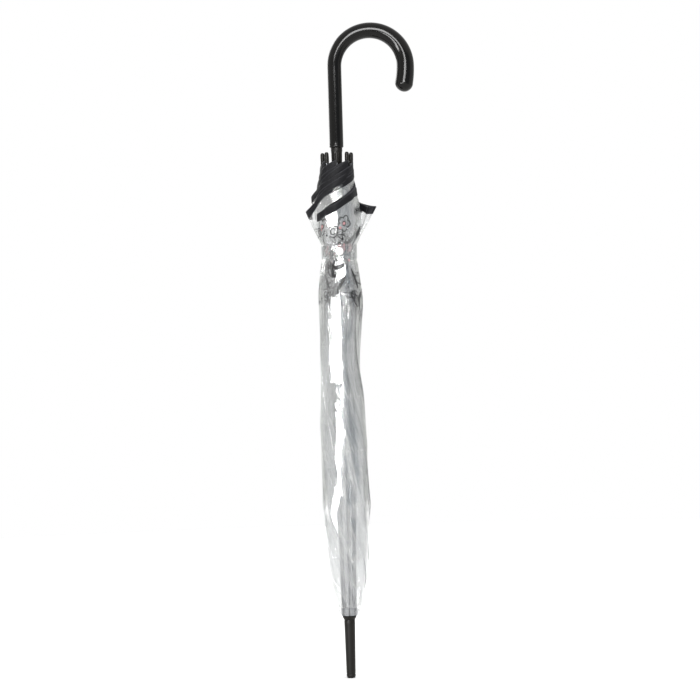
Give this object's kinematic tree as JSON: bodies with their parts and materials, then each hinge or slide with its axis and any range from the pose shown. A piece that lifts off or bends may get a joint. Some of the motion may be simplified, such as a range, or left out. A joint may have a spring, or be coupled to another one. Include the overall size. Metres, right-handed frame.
{
  "type": "bubble umbrella",
  "caption": "Clear dome umbrella, furled, with a crook handle, a runner and stretchers that open the ribs, clear film gores and a snap strap.",
  "frame": {"origin": "on the shaft's axis, at the ferrule's flat end", "axes": "+Z along the shaft towards the crook, +X towards the crook's free end, -Y towards rib 1"},
  "size_m": [0.1389, 0.076, 0.8291],
  "materials": {
    "black_gloss": "polished moulded plastic",
    "shaft_metal": "white-silver enamel",
    "steel": "bright drawn wire and spring leaf",
    "white_plastic": "moulded, slightly glossy",
    "clear_film": "clear soft film, glossy, with a printed line pattern",
    "black_binding": "woven bias tape"
  },
  "bodies": {
    "shaft_frame": {"shaft": "shaft_metal", "crook_handle": "black_gloss", "ferrule": "black_gloss", "crown_cap": "black_gloss", "top_notch": "white_plastic", "notch_wire": "steel"},
    "rib_inner_1": {"rib_inner_1": "shaft_metal"},
    "rib_outer_1": {"rib_outer_1": "shaft_metal", "rib_tip_1": "black_gloss", "strap": "clear_film", "snap_button": "white_plastic"},
    "stretcher_1": {"stretcher_1": "shaft_metal"},
    "gore_upper_1": {"gore_upper_1": "clear_film"},
    "gore_lower_1": {"gore_lower_1": "clear_film"},
    "rib_inner_2": {"rib_inner_2": "shaft_metal"},
    "rib_outer_2": {"rib_outer_2": "shaft_metal", "rib_tip_2": "black_gloss"},
    "stretcher_2": {"stretcher_2": "shaft_metal"},
    "gore_upper_2": {"gore_upper_2": "clear_film"},
    "gore_lower_2": {"gore_lower_2": "clear_film"},
    "rib_inner_3": {"rib_inner_3": "shaft_metal"},
    "rib_outer_3": {"rib_outer_3": "shaft_metal", "rib_tip_3": "black_gloss"},
    "stretcher_3": {"stretcher_3": "shaft_metal"},
    "gore_upper_3": {"gore_upper_3": "clear_film"},
    "gore_lower_3": {"gore_lower_3": "clear_film"},
    "rib_inner_4": {"rib_inner_4": "shaft_metal"},
    "rib_outer_4": {"rib_outer_4": "shaft_metal", "rib_tip_4": "black_gloss"},
    "stretcher_4": {"stretcher_4": "shaft_metal"},
    "gore_upper_4": {"gore_upper_4": "clear_film"},
    "gore_lower_4": {"gore_lower_4": "clear_film"},
    "rib_inner_5": {"rib_inner_5": "shaft_metal"},
    "rib_outer_5": {"rib_outer_5": "shaft_metal", "rib_tip_5": "black_gloss"},
    "stretcher_5": {"stretcher_5": "shaft_metal"},
    "gore_upper_5": {"gore_upper_5": "clear_film"},
    "gore_lower_5": {"gore_lower_5": "clear_film"},
    "rib_inner_6": {"rib_inner_6": "shaft_metal"},
    "rib_outer_6": {"rib_outer_6": "shaft_metal", "rib_tip_6": "black_gloss"},
    "stretcher_6": {"stretcher_6": "shaft_metal"},
    "gore_upper_6": {"gore_upper_6": "clear_film"},
    "gore_lower_6": {"gore_lower_6": "clear_film"},
    "rib_inner_7": {"rib_inner_7": "shaft_metal"},
    "rib_outer_7": {"rib_outer_7": "shaft_metal", "rib_tip_7": "black_gloss"},
    "stretcher_7": {"stretcher_7": "shaft_metal"},
    "gore_upper_7": {"gore_upper_7": "clear_film"},
    "gore_lower_7": {"gore_lower_7": "clear_film"},
    "rib_inner_8": {"rib_inner_8": "shaft_metal"},
    "rib_outer_8": {"rib_outer_8": "shaft_metal", "rib_tip_8": "black_gloss"},
    "stretcher_8": {"stretcher_8": "shaft_metal"},
    "gore_upper_8": {"gore_upper_8": "clear_film"},
    "gore_lower_8": {"gore_lower_8": "clear_film"},
    "runner": {"runner": "white_plastic", "runner_wire": "steel"},
    "top_spring": {"top_spring": "steel"},
    "bottom_spring": {"bottom_spring": "steel"}
  },
  "joints": [
    {"name": "canopy_open", "type": "hinge", "parent": "shaft_frame", "child": "rib_inner_1", "pos_m": [0, -0.008, 0.084], "axis": [1, 0, 0], "range_deg": [0, 69]},
    {"name": "rib_flex_1", "type": "hinge", "parent": "rib_inner_1", "child": "rib_outer_1", "pos_m": [0, -0.01306, 0.37396], "axis": [1, 0, 0], "range_deg": [-46, 0], "deforming": ["strap"]},
    {"name": "stretcher_hinge_1", "type": "hinge", "parent": "rib_inner_1", "child": "stretcher_1", "pos_m": [0, -0.00879, 0.32402], "axis": [1, 0, 0], "range_deg": [-138, 0]},
    {"name": "film_upper_1", "type": "hinge", "parent": "rib_inner_1", "child": "gore_upper_1", "pos_m": [-0.05567, -0.13441, 0.17088], "axis": [-0.3231, -0.7799, 0.536], "range_deg": [0, 50.07], "deforming": ["gore_upper_1"]},
    {"name": "film_lower_1", "type": "hinge", "parent": "rib_outer_1", "child": "gore_lower_1", "pos_m": [-0.04955, -0.11962, -0.28885], "axis": [-0.3761, -0.908, 0.1847], "range_deg": [0, 17.5], "deforming": ["gore_lower_1"]},
    {"name": "rib_hinge_2", "type": "hinge", "parent": "shaft_frame", "child": "rib_inner_2", "pos_m": [-0.00566, -0.00566, 0.084], "axis": [0.7071, -0.7071, 0], "range_deg": [0, 69]},
    {"name": "rib_flex_2", "type": "hinge", "parent": "rib_inner_2", "child": "rib_outer_2", "pos_m": [-0.00924, -0.00924, 0.37396], "axis": [0.7071, -0.7071, 0], "range_deg": [-46, 0]},
    {"name": "stretcher_hinge_2", "type": "hinge", "parent": "rib_inner_2", "child": "stretcher_2", "pos_m": [-0.00621, -0.00621, 0.32402], "axis": [0.7071, -0.7071, 0], "range_deg": [-138, 0]},
    {"name": "film_upper_2", "type": "hinge", "parent": "rib_inner_2", "child": "gore_upper_2", "pos_m": [-0.13441, -0.05567, 0.17088], "axis": [-0.7799, -0.3231, 0.536], "range_deg": [0, 50.07], "deforming": ["gore_upper_2"]},
    {"name": "film_lower_2", "type": "hinge", "parent": "rib_outer_2", "child": "gore_lower_2", "pos_m": [-0.11962, -0.04955, -0.28885], "axis": [-0.908, -0.3761, 0.1847], "range_deg": [0, 17.5], "deforming": ["gore_lower_2"]},
    {"name": "rib_hinge_3", "type": "hinge", "parent": "shaft_frame", "child": "rib_inner_3", "pos_m": [-0.008, 0, 0.084], "axis": [0, -1, 0], "range_deg": [0, 69]},
    {"name": "rib_flex_3", "type": "hinge", "parent": "rib_inner_3", "child": "rib_outer_3", "pos_m": [-0.01306, 0, 0.37396], "axis": [0, -1, 0], "range_deg": [-46, 0]},
    {"name": "stretcher_hinge_3", "type": "hinge", "parent": "rib_inner_3", "child": "stretcher_3", "pos_m": [-0.00879, 0, 0.32402], "axis": [0, -1, 0], "range_deg": [-138, 0]},
    {"name": "film_upper_3", "type": "hinge", "parent": "rib_inner_3", "child": "gore_upper_3", "pos_m": [-0.13441, 0.05567, 0.17088], "axis": [-0.7799, 0.3231, 0.536], "range_deg": [0, 50.07], "deforming": ["gore_upper_3"]},
    {"name": "film_lower_3", "type": "hinge", "parent": "rib_outer_3", "child": "gore_lower_3", "pos_m": [-0.11962, 0.04955, -0.28885], "axis": [-0.908, 0.3761, 0.1847], "range_deg": [0, 17.5], "deforming": ["gore_lower_3"]},
    {"name": "rib_hinge_4", "type": "hinge", "parent": "shaft_frame", "child": "rib_inner_4", "pos_m": [-0.00566, 0.00566, 0.084], "axis": [-0.7071, -0.7071, 0], "range_deg": [0, 69]},
    {"name": "rib_flex_4", "type": "hinge", "parent": "rib_inner_4", "child": "rib_outer_4", "pos_m": [-0.00924, 0.00924, 0.37396], "axis": [-0.7071, -0.7071, 0], "range_deg": [-46, 0]},
    {"name": "stretcher_hinge_4", "type": "hinge", "parent": "rib_inner_4", "child": "stretcher_4", "pos_m": [-0.00621, 0.00621, 0.32402], "axis": [-0.7071, -0.7071, 0], "range_deg": [-138, 0]},
    {"name": "film_upper_4", "type": "hinge", "parent": "rib_inner_4", "child": "gore_upper_4", "pos_m": [-0.05567, 0.13441, 0.17088], "axis": [-0.3231, 0.7799, 0.536], "range_deg": [0, 50.07], "deforming": ["gore_upper_4"]},
    {"name": "film_lower_4", "type": "hinge", "parent": "rib_outer_4", "child": "gore_lower_4", "pos_m": [-0.04955, 0.11962, -0.28885], "axis": [-0.3761, 0.908, 0.1847], "range_deg": [0, 17.5], "deforming": ["gore_lower_4"]},
    {"name": "rib_hinge_5", "type": "hinge", "parent": "shaft_frame", "child": "rib_inner_5", "pos_m": [0, 0.008, 0.084], "axis": [-1, 0, 0], "range_deg": [0, 69]},
    {"name": "rib_flex_5", "type": "hinge", "parent": "rib_inner_5", "child": "rib_outer_5", "pos_m": [0, 0.01306, 0.37396], "axis": [-1, 0, 0], "range_deg": [-46, 0]},
    {"name": "stretcher_hinge_5", "type": "hinge", "parent": "rib_inner_5", "child": "stretcher_5", "pos_m": [0, 0.00879, 0.32402], "axis": [-1, 0, 0], "range_deg": [-138, 0]},
    {"name": "film_upper_5", "type": "hinge", "parent": "rib_inner_5", "child": "gore_upper_5", "pos_m": [0.05567, 0.13441, 0.17088], "axis": [0.3231, 0.7799, 0.536], "range_deg": [0, 50.07], "deforming": ["gore_upper_5"]},
    {"name": "film_lower_5", "type": "hinge", "parent": "rib_outer_5", "child": "gore_lower_5", "pos_m": [0.04955, 0.11962, -0.28885], "axis": [0.3761, 0.908, 0.1847], "range_deg": [0, 17.5], "deforming": ["gore_lower_5"]},
    {"name": "rib_hinge_6", "type": "hinge", "parent": "shaft_frame", "child": "rib_inner_6", "pos_m": [0.00566, 0.00566, 0.084], "axis": [-0.7071, 0.7071, 0], "range_deg": [0, 69]},
    {"name": "rib_flex_6", "type": "hinge", "parent": "rib_inner_6", "child": "rib_outer_6", "pos_m": [0.00924, 0.00924, 0.37396], "axis": [-0.7071, 0.7071, 0], "range_deg": [-46, 0]},
    {"name": "stretcher_hinge_6", "type": "hinge", "parent": "rib_inner_6", "child": "stretcher_6", "pos_m": [0.00621, 0.00621, 0.32402], "axis": [-0.7071, 0.7071, 0], "range_deg": [-138, 0]},
    {"name": "film_upper_6", "type": "hinge", "parent": "rib_inner_6", "child": "gore_upper_6", "pos_m": [0.13441, 0.05567, 0.17088], "axis": [0.7799, 0.3231, 0.536], "range_deg": [0, 50.07], "deforming": ["gore_upper_6"]},
    {"name": "film_lower_6", "type": "hinge", "parent": "rib_outer_6", "child": "gore_lower_6", "pos_m": [0.11962, 0.04955, -0.28885], "axis": [0.908, 0.3761, 0.1847], "range_deg": [0, 17.5], "deforming": ["gore_lower_6"]},
    {"name": "rib_hinge_7", "type": "hinge", "parent": "shaft_frame", "child": "rib_inner_7", "pos_m": [0.008, 0, 0.084], "axis": [0, 1, 0], "range_deg": [0, 69]},
    {"name": "rib_flex_7", "type": "hinge", "parent": "rib_inner_7", "child": "rib_outer_7", "pos_m": [0.01306, 0, 0.37396], "axis": [0, 1, 0], "range_deg": [-46, 0]},
    {"name": "stretcher_hinge_7", "type": "hinge", "parent": "rib_inner_7", "child": "stretcher_7", "pos_m": [0.00879, 0, 0.32402], "axis": [0, 1, 0], "range_deg": [-138, 0]},
    {"name": "film_upper_7", "type": "hinge", "parent": "rib_inner_7", "child": "gore_upper_7", "pos_m": [0.13441, -0.05567, 0.17088], "axis": [0.7799, -0.3231, 0.536], "range_deg": [0, 50.07], "deforming": ["gore_upper_7"]},
    {"name": "film_lower_7", "type": "hinge", "parent": "rib_outer_7", "child": "gore_lower_7", "pos_m": [0.11962, -0.04955, -0.28885], "axis": [0.908, -0.3761, 0.1847], "range_deg": [0, 17.5], "deforming": ["gore_lower_7"]},
    {"name": "rib_hinge_8", "type": "hinge", "parent": "shaft_frame", "child": "rib_inner_8", "pos_m": [0.00566, -0.00566, 0.084], "axis": [0.7071, 0.7071, 0], "range_deg": [0, 69]},
    {"name": "rib_flex_8", "type": "hinge", "parent": "rib_inner_8", "child": "rib_outer_8", "pos_m": [0.00924, -0.00924, 0.37396], "axis": [0.7071, 0.7071, 0], "range_deg": [-46, 0]},
    {"name": "stretcher_hinge_8", "type": "hinge", "parent": "rib_inner_8", "child": "stretcher_8", "pos_m": [0.00621, -0.00621, 0.32402], "axis": [0.7071, 0.7071, 0], "range_deg": [-138, 0]},
    {"name": "film_upper_8", "type": "hinge", "parent": "rib_inner_8", "child": "gore_upper_8", "pos_m": [0.05567, -0.13441, 0.17088], "axis": [0.3231, -0.7799, 0.536], "range_deg": [0, 50.07], "deforming": ["gore_upper_8"]},
    {"name": "film_lower_8", "type": "hinge", "parent": "rib_outer_8", "child": "gore_lower_8", "pos_m": [0.04955, -0.11962, -0.28885], "axis": [0.3761, -0.908, 0.1847], "range_deg": [0, 17.5], "deforming": ["gore_lower_8"]},
    {"name": "runner_hinge", "type": "hinge", "parent": "stretcher_1", "child": "runner", "pos_m": [0, -0.008, 0.56405], "axis": [1, 0, 0], "range_deg": [0, 69]},
    {"name": "top_catch", "type": "slide", "parent": "shaft_frame", "child": "top_spring", "axis": [-0.3827, 0.9239, 0], "range_m": [0, 0.0028], "stiffness_N_per_m": 100, "deforming": ["top_spring"]},
    {"name": "bottom_catch", "type": "slide", "parent": "shaft_frame", "child": "bottom_spring", "axis": [-0.3827, 0.9239, 0], "range_m": [0, 0.0028], "stiffness_N_per_m": 100, "deforming": ["bottom_spring"]}
  ],
  "couplings": [
    {"joint": "rib_flex_1", "follows": "canopy_open", "ratio": -0.66667},
    {"joint": "stretcher_hinge_1", "follows": "canopy_open", "ratio": -2},
    {"joint": "film_upper_1", "follows": "canopy_open", "ratio": 0.72571},
    {"joint": "film_lower_1", "follows": "canopy_open", "ratio": 0.25366},
    {"joint": "rib_hinge_2", "follows": "canopy_open", "ratio": 1},
    {"joint": "rib_flex_2", "follows": "canopy_open", "ratio": -0.66667},
    {"joint": "stretcher_hinge_2", "follows": "canopy_open", "ratio": -2},
    {"joint": "film_upper_2", "follows": "canopy_open", "ratio": 0.72571},
    {"joint": "film_lower_2", "follows": "canopy_open", "ratio": 0.25366},
    {"joint": "rib_hinge_3", "follows": "canopy_open", "ratio": 1},
    {"joint": "rib_flex_3", "follows": "canopy_open", "ratio": -0.66667},
    {"joint": "stretcher_hinge_3", "follows": "canopy_open", "ratio": -2},
    {"joint": "film_upper_3", "follows": "canopy_open", "ratio": 0.72571},
    {"joint": "film_lower_3", "follows": "canopy_open", "ratio": 0.25366},
    {"joint": "rib_hinge_4", "follows": "canopy_open", "ratio": 1},
    {"joint": "rib_flex_4", "follows": "canopy_open", "ratio": -0.66667},
    {"joint": "stretcher_hinge_4", "follows": "canopy_open", "ratio": -2},
    {"joint": "film_upper_4", "follows": "canopy_open", "ratio": 0.72571},
    {"joint": "film_lower_4", "follows": "canopy_open", "ratio": 0.25366},
    {"joint": "rib_hinge_5", "follows": "canopy_open", "ratio": 1},
    {"joint": "rib_flex_5", "follows": "canopy_open", "ratio": -0.66667},
    {"joint": "stretcher_hinge_5", "follows": "canopy_open", "ratio": -2},
    {"joint": "film_upper_5", "follows": "canopy_open", "ratio": 0.72571},
    {"joint": "film_lower_5", "follows": "canopy_open", "ratio": 0.25366},
    {"joint": "rib_hinge_6", "follows": "canopy_open", "ratio": 1},
    {"joint": "rib_flex_6", "follows": "canopy_open", "ratio": -0.66667},
    {"joint": "stretcher_hinge_6", "follows": "canopy_open", "ratio": -2},
    {"joint": "film_upper_6", "follows": "canopy_open", "ratio": 0.72571},
    {"joint": "film_lower_6", "follows": "canopy_open", "ratio": 0.25366},
    {"joint": "rib_hinge_7", "follows": "canopy_open", "ratio": 1},
    {"joint": "rib_flex_7", "follows": "canopy_open", "ratio": -0.66667},
    {"joint": "stretcher_hinge_7", "follows": "canopy_open", "ratio": -2},
    {"joint": "film_upper_7", "follows": "canopy_open", "ratio": 0.72571},
    {"joint": "film_lower_7", "follows": "canopy_open", "ratio": 0.25366},
    {"joint": "rib_hinge_8", "follows": "canopy_open", "ratio": 1},
    {"joint": "rib_flex_8", "follows": "canopy_open", "ratio": -0.66667},
    {"joint": "stretcher_hinge_8", "follows": "canopy_open", "ratio": -2},
    {"joint": "film_upper_8", "follows": "canopy_open", "ratio": 0.72571},
    {"joint": "film_lower_8", "follows": "canopy_open", "ratio": 0.25366},
    {"joint": "runner_hinge", "follows": "canopy_open", "ratio": 1}
  ]
}
